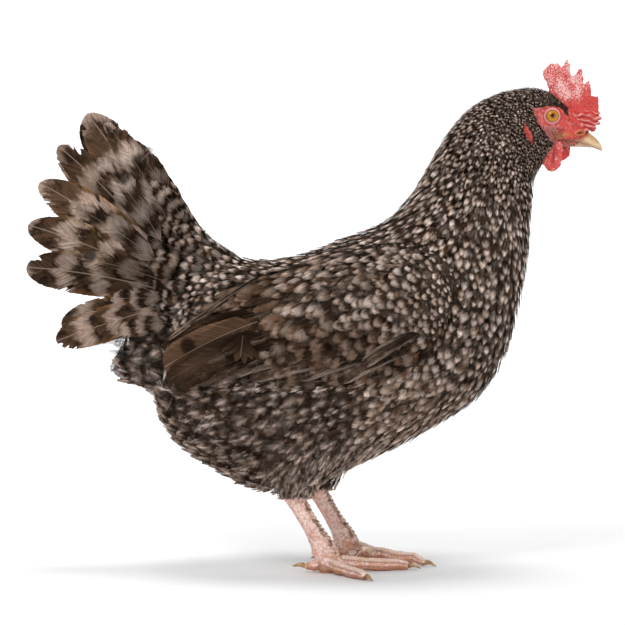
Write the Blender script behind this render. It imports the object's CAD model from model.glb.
"""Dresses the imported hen: one skin, plumage in solid mesh, comb, legs, beak and eyes, floor, light and camera.

Lengths are design millimetres, with the hen facing +X and the floor at Z = 0, until row() makes them row metres.
"""

import math

import bmesh
import bpy
import numpy as np
from mathutils import Matrix, Vector
from mathutils.bvhtree import BVHTree
from mathutils.kdtree import KDTree


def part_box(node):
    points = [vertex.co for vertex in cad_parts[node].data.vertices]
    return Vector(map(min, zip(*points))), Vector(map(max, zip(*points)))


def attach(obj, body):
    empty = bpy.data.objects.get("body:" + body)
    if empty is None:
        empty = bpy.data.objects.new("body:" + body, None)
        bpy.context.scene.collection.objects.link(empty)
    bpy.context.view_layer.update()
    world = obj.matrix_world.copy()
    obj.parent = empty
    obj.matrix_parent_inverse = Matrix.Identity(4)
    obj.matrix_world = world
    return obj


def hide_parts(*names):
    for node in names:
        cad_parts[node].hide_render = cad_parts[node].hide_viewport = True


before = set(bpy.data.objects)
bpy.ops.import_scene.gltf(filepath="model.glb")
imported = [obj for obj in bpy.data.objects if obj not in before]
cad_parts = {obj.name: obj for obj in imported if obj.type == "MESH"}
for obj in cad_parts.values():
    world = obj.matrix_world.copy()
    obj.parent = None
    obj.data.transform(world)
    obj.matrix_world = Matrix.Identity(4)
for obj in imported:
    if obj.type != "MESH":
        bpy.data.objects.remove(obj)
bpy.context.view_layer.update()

MM = 0.001
SIDES = (("right", -1), ("left", 1))
EYE_X, EYE_Z, EYE_RADIUS = 192.7, 371.0, 6.6


def shift_of_row():
    """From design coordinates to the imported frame, in millimetres."""
    right_low, right_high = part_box("eye_right")
    left_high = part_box("eye_left")[1]
    return np.array(((right_low.x + right_high.x) / 2 / MM - EYE_X, (right_low.y + left_high.y) / 2 / MM, 0.0))


SHIFT = shift_of_row()


def row(points):
    return (np.asarray(points, float) + SHIFT) * MM


def smooth(low, high, value):
    t = np.clip((np.asarray(value, float) - low) / (high - low), 0, 1)
    return t * t * (3 - 2 * t)


def bell(offset, width):
    """1 in the middle, falling to nothing over about twice this width."""
    return np.exp(-(offset / width) ** 2)


def way(degrees):
    return np.array((math.cos(math.radians(degrees)), math.sin(math.radians(degrees))))


def unit(v):
    return v / max(np.linalg.norm(v), 1e-9)


# Meshes

def read(items, key, width, kind=np.int32):
    """One property of all of a mesh's items, with a row to each."""
    flat = np.empty(len(items) * width, kind)
    items.foreach_get(key, flat)
    return flat.reshape(-1, width)


def points_of(mesh):
    """A mesh's vertices in design millimetres."""
    return read(mesh.vertices, "co", 3, np.float32).astype(float) / MM - SHIFT


def triangles_of(mesh):
    mesh.calc_loop_triangles()
    return read(mesh.loop_triangles, "vertices", 3)


def new_mesh(name, points, faces):
    """faces is a list of integer arrays, each with one row to a face."""
    mesh = bpy.data.meshes.new(name)
    mesh.vertices.add(len(points))
    mesh.vertices.foreach_set("co", row(points).astype(np.float32).ravel())
    sizes = np.concatenate([np.full(len(f), f.shape[1]) for f in faces])
    corners = np.concatenate([f.ravel() for f in faces]).astype(np.int32)
    mesh.loops.add(len(corners))
    mesh.loops.foreach_set("vertex_index", corners)
    mesh.polygons.add(len(sizes))
    mesh.polygons.foreach_set("loop_start", np.concatenate([[0], np.cumsum(sizes)[:-1]]).astype(np.int32))
    mesh.polygons.foreach_set("use_smooth", np.ones(len(sizes), bool))
    mesh.update(calc_edges=True)
    mesh.validate()
    return mesh


def add_uv(mesh, name, uv):
    """uv has one row to a vertex."""
    corners = read(mesh.loops, "vertex_index", 1).ravel()
    mesh.uv_layers.new(name=name).data.foreach_set("uv", np.asarray(uv, np.float32)[corners].ravel())


def add_values(mesh, name, values):
    """values has one number, or a row of three, to a vertex."""
    values = np.asarray(values, np.float32)
    kind, key = ("FLOAT", "value") if values.ndim == 1 else ("FLOAT_VECTOR", "vector")
    mesh.attributes.new(name, kind, "POINT").data.foreach_set(key, values.ravel())


def quads(grid):
    """The faces between the rows and columns of a grid of vertex numbers."""
    return np.stack((grid[:-1, :-1], grid[1:, :-1], grid[1:, 1:], grid[:-1, 1:]), -1).reshape(-1, 4)


def in_scene(name, data):
    made = bpy.data.objects.new(name, data)
    bpy.context.scene.collection.objects.link(made)
    return made


def new_object(name, mesh, slot, *materials):
    piece = in_scene(name, mesh)
    for material in materials:
        mesh.materials.append(material)
    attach(piece, "root")
    return piece


# Materials

class Wire:
    """What a node gives out, with arithmetic that makes more nodes."""

    def __init__(self, shader, socket):
        self.shader, self.socket = shader, socket

    def __add__(self, other):
        return self.shader.math("ADD", self, other)

    def __sub__(self, other):
        return self.shader.math("SUBTRACT", self, other)

    def __rsub__(self, other):
        return self.shader.math("SUBTRACT", other, self)

    def __mul__(self, other):
        return self.shader.math("MULTIPLY", self, other)


class Shader:
    """A node material, built from the surface's own coordinates."""

    def __init__(self, name, **settings):
        self.material = bpy.data.materials.new(name)
        self.material.use_nodes = True
        self.tree = self.material.node_tree
        self.surface = self.tree.nodes["Principled BSDF"]
        for key, value in settings.items():
            self.surface.inputs[key.replace("_", " ")].default_value = value

    def put(self, target, value):
        if isinstance(value, Wire):
            self.tree.links.new(value.socket, target)
        else:
            target.default_value = value

    def node(self, kind, inputs, output=0, **settings):
        """A new node, its inputs by number or name, as the Wire from one of its outputs."""
        made = self.tree.nodes.new("ShaderNode" + kind)
        for key, value in settings.items():
            setattr(made, key, value)
        for key, value in inputs.items():
            self.put(made.inputs[key], value)
        return Wire(self, made.outputs[output])

    def math(self, operation, *values):
        return self.node("Math", dict(enumerate(values)), operation=operation)

    def stretched(self, vector, x, y, z):
        return self.node("VectorMath", {0: vector, 1: (x, y, z)}, operation="MULTIPLY")

    def scaled(self, color, amount):
        return self.node("VectorMath", {0: color, "Scale": amount}, operation="SCALE")

    def length(self, x, y):
        return self.node("VectorMath", {0: self.combine(x, y, 0.0)}, "Value", operation="LENGTH")

    def split(self, vector):
        made = self.tree.nodes.new("ShaderNodeSeparateXYZ")
        self.put(made.inputs[0], vector)
        return [Wire(self, socket) for socket in made.outputs]

    def combine(self, x, y, z):
        return self.node("CombineXYZ", {0: x, 1: y, 2: z})

    def step(self, value, low, high, out_low=0.0, out_high=1.0):
        ends = {"From Min": low, "From Max": high, "To Min": out_low, "To Max": out_high}
        return self.node("MapRange", {"Value": value, **ends}, interpolation_type="SMOOTHSTEP")

    def mix(self, factor, first, second):
        first, second = ((*c, 1.0) if isinstance(c, tuple) else c for c in (first, second))
        return self.node("Mix", {0: factor, 6: first, 7: second}, 2, data_type="RGBA")

    def noise(self, where, scale, detail=3.0, roughness=0.5):
        return self.node("TexNoise", {"Vector": where, "Scale": scale, "Detail": detail, "Roughness": roughness}, "Fac")

    def cells(self, where, scale):
        return self.node("TexVoronoi", {"Vector": where, "Scale": scale}, "Distance")

    def attribute(self, name, output="Vector"):
        return self.node("Attribute", {}, output, attribute_name=name)

    def uv(self, name):
        return self.node("UVMap", {}, uv_map=name)

    def place(self):
        """The surface point, which stays with the object."""
        return self.node("TexCoord", {}, "Object")

    def finish(self, color, rough=None, height=None, strength=0.0, depth=0.0):
        """Base colour, roughness and relief, as the finished material."""
        self.put(self.surface.inputs["Base Color"], color)
        if rough:
            self.put(self.surface.inputs["Roughness"], rough)
        if height:
            bump = self.node("Bump", {"Strength": strength, "Distance": depth, "Height": height})
            self.put(self.surface.inputs["Normal"], bump)
        return self.material


def rgb(red, green, blue):
    """A display colour, 0 to 255, as the linear colour that a shader takes."""
    return tuple(((c / 255 + 0.055) / 1.055) ** 2.4 if c > 10 else c / 255 / 12.92 for c in (red, green, blue))


DARK = rgb(17, 11, 7)
BROWN = rgb(106, 81, 63)
PALE = rgb(229, 211, 200)


def plume_material():
    """Bars of dark, brown and pale across each feather, an odd dark spot, fine barbs, and a paler shaft."""
    s = Shader("plume", Specular_IOR_Level=0.0)
    across, along, _ = s.split(s.uv("feather"))
    offset = across * 2.0 - 1.0
    off_shaft = s.math("ABSOLUTE", offset)
    bars, phase, contrast = s.split(s.attribute("marks"))
    pale_level, warmth, number = s.split(s.attribute("tint"))
    curve, plain, shaft_level = s.split(s.attribute("form"))
    threshold, spot_at, spot_level = s.split(s.attribute("spots"))
    place = s.place()
    seed = number * 91.7
    ripple = (s.noise(s.combine(across * 1.6, along, seed), 3.2, 2.0) - 0.5) * 0.8
    turns = along * bars + (off_shaft * off_shaft * curve + phase) + ripple
    wave = s.math("COSINE", turns * (2 * math.pi)) * 0.5 + 0.5
    high = wave - threshold + (s.noise(place, 330.0, 2.0) - 0.5) * 0.6
    barbs = s.noise(s.combine(across * 1.5, (along - off_shaft * 0.22) * 34.0, seed), 1.6, 2.5, 0.6)
    wash = s.step(high, -0.50, 0.30, 0.0, 0.52) + s.step(high, 0.16, 0.66, 0.0, 0.48)
    blotch = s.step(s.noise(place, 78.0, 3.0, 0.6), 0.44, 0.62) * s.step(contrast, 0.0, 0.3, 0.1, 1.0)
    brownness = s.math("MAXIMUM", plain * (blotch * -0.75 + 1.1), s.step(high, -0.62, 0.12) * 0.85)
    color = s.mix(brownness, DARK, BROWN)
    color = s.mix(wash * contrast * pale_level, color, s.mix(warmth, PALE, rgb(198, 172, 154)))
    spot = s.length(offset + 0.35, (along - spot_at) * 7.5)
    color = s.mix(s.step(spot, 0.35, 0.75, 1.0, 0.0) * spot_level, color, DARK)
    golden = s.step(off_shaft, 0.66, 1.0) * (shaft_level * 0.6) * s.step(contrast, 0.1, 0.3)
    color = s.mix(golden, color, rgb(146, 106, 66))
    fullest = s.math("MAXIMUM", shaft_level * 1.2, s.step(plain, 0.50, 0.95, 0.0, 0.9))
    root_shade = s.math("MAXIMUM", s.step(along, 0.30, 0.85, 0.26, 1.0), fullest)
    rounding = s.math("MAXIMUM", along * 1.5 - 0.52, 0.0)
    rim = s.step(s.length(off_shaft, rounding), 0.64, 1.02) * s.math("MAXIMUM", fullest * -0.8 + 0.62, 0.0)
    light = root_shade * s.step(barbs, 0.25, 0.78, 0.60, 1.48) * (1.0 - rim)
    light = light * (s.noise(place, 9.0, 1.0) * 0.5 + 0.75) * (s.math("FRACT", number * 7.3) * 0.5 + 0.76)
    shaft = s.step(off_shaft, 0.012, 0.04, 1.0, 0.0) * shaft_level
    color = s.mix(shaft, s.scaled(color, light), rgb(150, 132, 116))
    return s.finish(color, s.step(barbs, 0.2, 0.8, 0.70, 0.48), barbs, 0.5, 0.00018)


def skin_material():
    """Under the plumage: the same dark, brown and pale in flecks that grow from the head to the belly."""
    s = Shader("plumed_skin", Roughness=0.8, Specular_IOR_Level=0.2)
    place = s.place()
    depth = s.attribute("grain", "Fac")
    where = s.stretched(place, 1.0, 1.0, 0.7)
    small = s.step(s.cells(where, 330.0), 0.15, 0.55, 1.0, 0.0)
    large = s.step(s.cells(where, 130.0), 0.15, 0.5, 1.0, 0.0)
    flecks = small * (1.0 - depth) + large * depth
    color = s.mix(flecks * 0.16, s.mix(s.noise(place, 60.0, 4.0) * 0.8, DARK, BROWN), PALE)
    return s.finish(s.scaled(color, 0.8), None, s.noise(place, 700.0), 0.6, 0.0006)


def red_material():
    """Comb, face, wattles and earlobes: blood-red skin with a pale scurf where the comb is dry."""
    s = Shader("red_skin", Specular_IOR_Level=0.45, Subsurface_Weight=0.10, Subsurface_Scale=0.002,
               Subsurface_Radius=(1.0, 0.25, 0.15))
    place = s.place()
    bloom, pink, gape = s.split(s.attribute("flush"))
    grain = s.cells(place, 1500.0)
    beads = s.cells(place, 820.0)
    broad = s.noise(place, 230.0, 4.0, 0.6)
    red = s.mix(s.step(broad, 0.3, 0.7), rgb(160, 14, 20), rgb(208, 42, 40))
    red = s.mix(s.step(beads, 0.1, 0.6, 0.0, 0.5), red, rgb(232, 96, 86))
    speckle = s.noise(place, 900.0, 1.5, 0.7) + bloom * 0.26
    scurf = s.step(speckle, 0.60, 0.78) * s.step(bloom, 0.04, 0.4)
    red = s.mix(bloom * 0.25, red, rgb(224, 104, 100))
    red = s.mix(scurf * 0.78, red, rgb(250, 214, 210))
    red = s.mix(pink, red, s.mix(s.step(grain, 0.1, 0.6), rgb(198, 104, 100), rgb(240, 172, 166)))
    red = s.mix(gape, red, s.mix(broad, rgb(176, 92, 54), rgb(222, 150, 84)))
    red = s.mix(s.attribute("stain", "Fac"), red, rgb(62, 18, 14))
    return s.finish(red, s.step(grain, 0.1, 0.6, 0.38, 0.62), beads * 0.7 + grain * 0.3, 0.85, 0.0006)


def leg_material():
    """Pinkish-white legs, grey-brown on the front of the shanks, with fine scales between the scutes."""
    s = Shader("leg_skin", Specular_IOR_Level=0.4, Subsurface_Weight=0.06, Subsurface_Scale=0.002,
               Subsurface_Radius=(1.0, 0.4, 0.25))
    place = s.place()
    front, pad, _ = s.split(s.attribute("flush"))
    net = s.cells(place, 430.0)
    broad = s.noise(place, 120.0, 4.0, 0.6)
    color = s.mix(s.step(broad, 0.35, 0.7), rgb(246, 216, 206), rgb(232, 184, 168))
    color = s.mix(s.step(net, 0.42, 0.70) * 0.5, color, rgb(180, 130, 112))
    mottle = s.step(s.noise(place, 210.0, 4.0, 0.65), 0.46, 0.60)
    color = s.mix(mottle * front * 0.85, color, rgb(132, 104, 80))
    toes = s.step(s.split(place)[2], 0.012, 0.026, 1.0, 0.0) * s.step(broad, 0.40, 0.62)
    color = s.mix(toes * 0.55, color, rgb(206, 148, 104))
    color = s.mix(pad * 0.75, color, rgb(166, 100, 58))
    return s.finish(color, s.step(net, 0.2, 0.6, 0.48, 0.66), 1.0 - net, 0.6, 0.0005)


def scute_material():
    """Smooth horny plates down the front of the shanks and over the toes."""
    s = Shader("scute", Roughness=0.42, Specular_IOR_Level=0.5, Subsurface_Weight=0.04, Subsurface_Scale=0.0015)
    place = s.place()
    along = s.split(s.uv("feather"))[1]
    browned = s.split(s.attribute("tint"))[1]
    color = s.mix(s.step(s.noise(place, 200.0, 4.0, 0.65), 0.3, 0.7), rgb(246, 216, 204), rgb(222, 172, 140))
    mottle = s.step(s.noise(place, 240.0, 4.0, 0.65), 0.44, 0.58)
    color = s.mix(mottle * browned, color, rgb(122, 96, 72))
    color = s.mix(s.step(along, 0.62, 0.9, 0.0, 0.5), color, rgb(250, 232, 220))
    color = s.mix(s.step(along, 0.06, 0.34, 0.75, 0.0), color, rgb(140, 92, 66))
    return s.finish(color, None, s.noise(place, 900.0), 0.3, 0.0003)


def horn_material(name, base, tip, streak):
    """Beak and claws: growth lines along the horn, paler and clearer at the edge and tip."""
    s = Shader(name, Specular_IOR_Level=0.5, Coat_Weight=0.15, Coat_Roughness=0.25, Subsurface_Weight=0.08,
               Subsurface_Scale=0.001)
    place = s.place()
    lines = s.noise(s.stretched(place, 0.35, 1.0, 1.6), 900.0)
    color = s.mix(s.step(s.noise(place, 170.0), 0.3, 0.7), rgb(*base), rgb(*tip))
    color = s.mix(s.step(lines, 0.35, 0.75, 0.0, 0.5), color, rgb(*streak))
    cere, seam, _ = s.split(s.attribute("cere"))
    fleshy = s.mix(s.step(s.noise(place, 520.0), 0.35, 0.65), rgb(122, 44, 34), rgb(190, 98, 76))
    color = s.mix(seam * 0.6, s.mix(cere, color, fleshy), rgb(84, 44, 34))
    return s.finish(color, s.step(lines, 0.3, 0.7, 0.28, 0.46), lines, 0.25, 0.0002)


# Feathers laid flat

ACROSS = np.array((-1.0, 0.0, 1.0))
ALONG = np.linspace(0.0, 1.0, 5)
# Side of the patch that a feather takes of the OFBake map.
PATCH = 0.003


def weights(nodes, at):
    """Each node's share at each value, by Lagrange's formula."""
    shares = np.ones((len(at), len(nodes)))
    for i, own in enumerate(nodes):
        for j, other in enumerate(nodes):
            if i != j:
                shares[:, i] *= (at - other) / (own - other)
    return shares


class Plan:
    """A feather flat in its own plane: across -1 to 1, along 0 to 1, relief in half widths, and faces."""

    def __init__(self, across, along, relief, faces):
        self.across, self.along, self.relief, self.faces = across, along, relief, faces
        self.flat = np.stack((0.5 + 0.5 * across, along), -1)
        share = weights(ACROSS, across)[:, :, None] * weights(ALONG, along)[:, None, :]
        self.share = share.reshape(len(across), -1)

    def on(self, places, ups, half_width):
        """The feather's points on each of these 3 by 5 lattices of points and normals."""
        at, up = (np.einsum("tv,fvc->ftc", self.share, rows.reshape(len(rows), 15, 3)) for rows in (places, ups))
        return at + up * (self.relief * half_width[:, None])[:, :, None]


def outline(ratio, slant, base, rise, tip, first, count):
    """Ends and roots of the barbs of one side, evenly spaced round the edge: (end across, end along, root along)."""
    v = np.linspace(0.0, 1.0, 400)
    u = np.minimum(1.0, base + rise * v) * np.sqrt(1 - (np.maximum(0, v - tip) / (1 - tip)) ** 2)
    root = v - slant * u
    kept = root >= first
    u, v, root = u[kept], v[kept], root[kept]
    walked = np.concatenate([[0.0], np.cumsum(np.hypot(np.diff(u) * ratio, np.diff(v)))])
    at = np.linspace(0, walked[-1], count)
    u, v, root = (np.interp(at, walked, values) for values in (u, v, root))
    return u, v, first + (root - first) * (0.95 - first) / (1 - first)


# How far past its length a feather's barbs may reach, as a share.
FURTHEST = 1.04


def vane(barbs, segments, seed, ratio=0.33, slant=0.4, base=0.35, rise=1.5, tip=0.5, fray=0.05, part=0.3, gap=0.0,
         relief=0.05, first=0.02, splits=0, split_depth=0.04, shaft=0.0, clefts=0, lap=0.0):
    """A feather whose barbs are strips from the shaft to the edge.

    ratio is half its width over its length, slant how far forward its barbs run, and tip where it starts to round
    off. part is the share of their width that barbs lose at their ends, fray how unevenly they end, gap how far they
    stand apart all along, and lap how far each reaches under the next. A split is a notch where the barbs below have
    slipped back, and a cleft one where a few barbs towards the tip have worn short.
    """
    draw = np.random.default_rng(seed)
    across, along, rise_of, faces = [], [], [], []
    t = np.linspace(0, 1, segments + 1)
    count = 0
    for side in (-1, 1):
        end_u, end_v, root = outline(ratio, slant, base, rise, tip, first, barbs + 1)
        for place in draw.integers(int(0.15 * barbs), max(int(0.8 * barbs), 3), splits):
            reach = max(3, barbs // 7)
            pull = split_depth * draw.uniform(0.5, 1.3)
            for k in range(max(0, place - reach), place):
                end_v[k] -= pull * (1 - (place - k) / reach)
        length = 1 - fray * draw.random((barbs + 1, 1))
        for place in draw.integers(int(0.55 * barbs), barbs - 2, clefts):
            length[place:place + draw.integers(1, 3)] *= draw.uniform(0.6, 0.9)
        u = end_u[:, None] * t * length
        v = root[:, None] + (end_v - root)[:, None] * length * t**1.15
        close = (1 + lap - gap) * (1 - part * smooth(0.45, 1.0, t))
        left_u, left_v = u[:-1], v[:-1]
        right_u = left_u + (u[1:] - left_u) * close
        right_v = left_v + (v[1:] - left_v) * close
        lift = relief * (0.6 + 0.8 * draw.random((barbs, 1))) * np.minimum(1, 3 * t)
        lift = lift + gap * 0.5 * (draw.random((barbs, 1)) - 0.3) * t**2
        block = np.arange(barbs * (segments + 1)).reshape(barbs, -1)
        across += [side * left_u.ravel(), side * right_u.ravel()]
        along += [left_v.ravel(), right_v.ravel()]
        rise_of += [lift.ravel(), np.broadcast_to(lift * 0.1, lift.shape).ravel()]
        left = count + block
        right = left + block.size
        quad = (left[:, :-1], left[:, 1:], right[:, 1:], right[:, :-1])
        faces.append(np.stack(quad if side < 0 else quad[::-1], -1).reshape(-1, 4))
        count += 2 * block.size
    if shaft:
        v = np.linspace(0.0, 0.94, 9)
        for u, height in ((-shaft, 0.0), (0.0, 1.6 * shaft), (shaft, 0.0)):
            across.append(u * (1.1 - v))
            along.append(v)
            rise_of.append(height * (1.15 - v) + relief + 0.02)
        faces.append(quads(count + np.arange(27).reshape(3, 9)))
    return Plan(np.concatenate(across), np.clip(np.concatenate(along), 0, FURTHEST), np.concatenate(rise_of),
                np.concatenate(faces))


def plans(copies, seed, **how):
    return [vane(seed=seed + k, **how) for k in range(copies)]


PLANS = {
    "tiny": plans(4, 10, barbs=5, segments=1, ratio=0.28, slant=0.34, tip=0.45, fray=0.12, relief=0.08, part=0.4),
    "hackle": plans(6, 20, barbs=8, segments=2, ratio=0.16, slant=0.22, base=0.6, rise=1.0, tip=0.35, fray=0.12,
                    relief=0.07, part=0.45),
    "vane": plans(8, 30, barbs=14, segments=2, ratio=0.34, slant=0.45, tip=0.36, fray=0.22, relief=0.05, part=0.6),
    "scale": plans(8, 40, barbs=16, segments=3, ratio=0.40, slant=0.45, base=0.5, rise=1.6, tip=0.36, fray=0.10,
                   relief=0.03, part=0.45, splits=1, split_depth=0.04),
    "covert": plans(8, 50, barbs=22, segments=3, ratio=0.27, slant=0.34, base=0.5, rise=1.4, tip=0.48, fray=0.09,
                    relief=0.025, splits=2, shaft=0.010, part=0.35),
    "fluff": plans(8, 60, barbs=24, segments=3, ratio=0.36, slant=0.50, base=0.6, tip=0.30, fray=0.46, gap=0.36,
                   relief=0.05, part=0.75),
    "down": plans(8, 70, barbs=44, segments=3, ratio=0.45, slant=0.55, base=0.8, tip=0.28, fray=0.26, gap=0.24,
                  relief=0.03, part=0.60),
}

# The lie of the coat

# How a kind of feather lies and is marked: lift at the tip and sag of its edges in millimetres, how straight it
# stays where the body curves away, bars along it, contrast, paleness, brownness, curve of the bars, shaft, and the
# share of each bar that is pale.
KINDS = {
    "tiny": (1.2, 0.15, 0.3, 1.3, 1.00, 1.25, 0.12, 0.10, 0.0, 0.34),
    "hackle": (2.2, 0.5, 0.2, 1.5, 1.00, 1.20, 0.30, 0.00, 0.0, 0.46),
    "vane": (3.2, 1.4, 0.15, 1.3, 1.00, 1.05, 0.52, 0.05, 0.0, 0.60),
    "buff": (3.2, 1.2, 0.15, 1.3, 0.90, 0.76, 1.00, 0.20, 0.0, 0.60),
    "scale": (2.6, 1.9, 0.25, 1.05, 0.92, 0.90, 0.50, 0.12, 0.05, 0.60),
    "covert": (2.6, 1.5, 0.35, 1.3, 0.66, 0.34, 0.60, 0.15, 0.15, 0.42),
    "barred": (3.0, 0.9, 0.35, 2.7, 0.85, 0.95, 0.22, 0.05, 0.10, 0.46),
    "spotted": (2.6, 1.1, 0.2, 1.4, 1.00, 1.20, 0.22, 0.00, 0.0, 0.54),
    "fluff": (5.2, 0.9, 0.2, 1.25, 1.00, 1.42, 0.70, -0.05, 0.0, 0.50),
    "down": (6.5, 0.6, 0.2, 1.6, 1.00, 1.40, 0.60, 0.10, 0.0, 0.56),
    "legging": (3.8, 0.5, 0.2, 1.2, 0.95, 1.30, 1.00, 0.00, 0.0, 0.90),
}
PLAN_OF = {"barred": "covert", "buff": "vane", "spotted": "vane", "legging": "fluff"}

# x, |y|, z, heading in side view in degrees (180 is to the rear, 270 down), length, width, spacing, kind
BODY_GUIDES = (
    (186, 0, 392, 186, 4.6, 2.3, 2.1, "tiny"),
    (196, 6, 384, 190, 3.4, 1.9, 1.7, "tiny"),
    (162, 6, 390, 206, 6.2, 2.7, 2.6, "tiny"),
    (134, 0, 383, 222, 9.5, 3.2, 3.2, "hackle"),
    (106, 0, 355, 234, 14, 4.0, 4.0, "hackle"),
    (96, 0, 335, 238, 17, 4.8, 4.8, "hackle"),
    (168, 22, 368, 236, 4.6, 2.2, 2.0, "tiny"),
    (178, 18, 350, 244, 4.0, 2.0, 1.8, "tiny"),
    (186, 0, 334, 252, 4.6, 2.3, 2.1, "tiny"),
    (150, 30, 352, 240, 8.5, 3.0, 2.9, "hackle"),
    (178, 0, 312, 264, 9.5, 4.0, 3.5, "hackle"),
    (130, 38, 326, 243, 14, 4.0, 4.0, "hackle"),
    (112, 48, 300, 240, 18, 5.2, 5.0, "hackle"),
    (100, 58, 285, 232, 21, 6.2, 5.8, "hackle"),
    (168, 20, 288, 262, 13, 6.4, 5.2, "vane"),
    (150, 42, 290, 252, 14, 6.2, 5.2, "vane"),
    (172, 0, 262, 264, 15, 9.5, 7.0, "vane"),
    (140, 55, 258, 250, 15, 8.8, 6.6, "vane"),
    (170, 0, 230, 262, 16, 11, 7.8, "vane"),
    (138, 62, 225, 240, 16, 10.5, 7.6, "vane"),
    (152, 0, 186, 232, 16, 11, 8.0, "vane"),
    (112, 68, 188, 222, 16, 11, 7.8, "vane"),
    (100, 0, 118, 205, 16, 11, 7.8, "buff"),
    (88, 70, 142, 208, 16, 10.5, 7.6, "buff"),
    (60, 70, 128, 202, 16.5, 10.5, 7.8, "buff"),
    (20, 76, 128, 196, 19, 13, 8.4, "fluff"),
    (60, 0, 96, 188, 16, 11, 8.0, "buff"),
    (20, 40, 78, 198, 20, 14, 8.6, "fluff"),
    (0, 0, 62, 185, 20, 14, 8.5, "fluff"),
    (-40, 60, 105, 200, 22, 15, 9.0, "fluff"),
    (-60, 20, 66, 196, 22, 15, 8.8, "fluff"),
    (-60, 66, 150, 195, 21, 14, 8.8, "fluff"),
    (-100, 0, 98, 176, 22, 15, 8.8, "fluff"),
    (-96, 45, 130, 192, 21, 14, 8.8, "fluff"),
    (-124, 0, 140, 160, 24, 13, 8.4, "fluff"),
    (-134, 8, 174, 188, 34, 19, 9.5, "down"),
    (-126, 8, 152, 178, 32, 18, 9.5, "down"),
    (-10, 38, 96, 262, 13, 8, 5.2, "legging"),
    (30, 38, 100, 262, 13, 8, 5.2, "legging"),
    (-14, 33, 66, 268, 9, 5.2, 3.5, "legging"),
    (80, 20, 303, 208, 17, 10, 7.6, "vane"),
    (76, 62, 280, 220, 15, 8.5, 6.4, "vane"),
    (40, 10, 279, 196, 17, 11, 8.0, "vane"),
    (0, 10, 262, 188, 18, 12, 8.4, "vane"),
    (-40, 12, 255, 178, 18, 11, 8.0, "spotted"),
    (-72, 14, 260, 162, 16, 9.5, 7.0, "spotted"),
    (-70, 30, 236, 176, 15, 8.5, 6.6, "spotted"),
    (-92, 40, 205, 182, 14, 8.0, 6.2, "spotted"),
    (-96, 20, 283, 146, 22, 11, 8.6, "barred"),
    (-112, 30, 252, 168, 30, 14, 10.5, "barred"),
    (-122, 12, 312, 130, 30, 13, 10, "barred"),
    (-130, 24, 286, 146, 34, 15, 11.5, "barred"),
    (-120, 30, 222, 182, 26, 12, 9.5, "barred"),
    (-130, 26, 186, 184, 24, 12, 8.6, "down"),
)
WING_GUIDES = (
    (106, 70, 236, 205, 8.0, 6.2, 4.6, "scale"),
    (98, 76, 222, 203, 9.0, 7.0, 5.0, "scale"),
    (96, 74, 205, 210, 10, 7.6, 5.6, "scale"),
    (88, 74, 255, 205, 10, 7.8, 5.4, "scale"),
    (70, 84, 236, 206, 12, 9.0, 6.2, "scale"),
    (60, 70, 262, 204, 14, 9.5, 7.0, "scale"),
    (66, 88, 210, 207, 14, 10.5, 7.4, "scale"),
    (40, 88, 222, 207, 15, 11.0, 7.8, "scale"),
    (74, 84, 190, 212, 16, 11.0, 8.0, "covert"),
    (30, 70, 248, 208, 18, 11, 8.2, "scale"),
    (44, 90, 196, 207, 18, 12.0, 8.6, "covert"),
    (10, 90, 200, 206, 21, 13, 9.6, "covert"),
    (20, 90, 176, 200, 24, 13, 10.5, "covert"),
    (-6, 78, 228, 210, 22, 12, 9.4, "scale"),
    (-30, 82, 205, 210, 27, 14, 11.0, "covert"),
    (-30, 66, 232, 211, 26, 11, 9.4, "covert"),
    (-62, 68, 214, 212, 30, 12, 10.5, "covert"),
    (-56, 55, 232, 213, 28, 10, 9.4, "covert"),
    (-90, 60, 202, 213, 28, 11, 10.5, "covert"),
)
# Where the flight feathers show on the folded wing and nothing covers them.
BARE_VANES = np.array(((-135, 200), (-91, 206), (-62, 201), (-47, 184), (-33, 168), (-33, 140), (-135, 140)), float)
# Wing outline: x, lower edge, upper edge.
WING_OUTLINE = np.array(((-125, 163, 175), (-118, 152, 186), (-105, 149, 198), (-85, 155, 214), (-60, 160, 232),
                         (-30, 159, 246), (0, 157, 255), (30, 158, 262), (60, 163, 266), (88, 178, 263),
                         (104, 196, 252), (111, 218, 236)), float)
# The crease between the wing's front edge and the breast: x, z.
CREASE = np.array(((108, 242), (107, 222), (104, 207), (95, 193), (81, 180), (95, 193), (104, 207), (107, 222)), float)


# Square millimetres within which the nearest guides count alike, and the points that are read at a time.
BLEND, CHUNK = 40, 20000


class Lie:
    """Heading, size and marking of the feathers at any point, blended between guides."""

    def __init__(self, guides):
        self.kind = [g[7] for g in guides]
        self.at = np.array([g[:3] for g in guides], float)
        turn = np.radians([g[3] for g in guides])
        self.heading = np.stack((np.cos(turn), np.zeros(len(turn)), np.sin(turn)), -1)
        self.value = np.array([(*g[4:7], *KINDS[g[7]]) for g in guides], float)

    def share(self, points):
        folded = np.stack((points[:, 0], np.abs(points[:, 1]), points[:, 2]), -1)
        away = ((folded[:, None, :] - self.at) ** 2).sum(-1)
        weight = 1 / (away + BLEND) ** 2
        return weight / weight.sum(1, keepdims=True)

    def read(self, points):
        """(heading, values, nearest guide) at each point."""
        share = np.concatenate([self.share(part) for part in np.array_split(points, 1 + len(points) // CHUNK)])
        return share @ self.heading, share @ self.value, share.argmax(1)


BODY_LIE = Lie(BODY_GUIDES)
WING_LIE = Lie(WING_GUIDES)
LENGTH, WIDTH, SPACING, LIFT, SAG, STIFF, BARS, CONTRAST, PALENESS, PLAIN, CURVE, SHAFT, DUTY = range(13)


# The wings lie outside this |y|.
WING_INNER = 36


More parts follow.
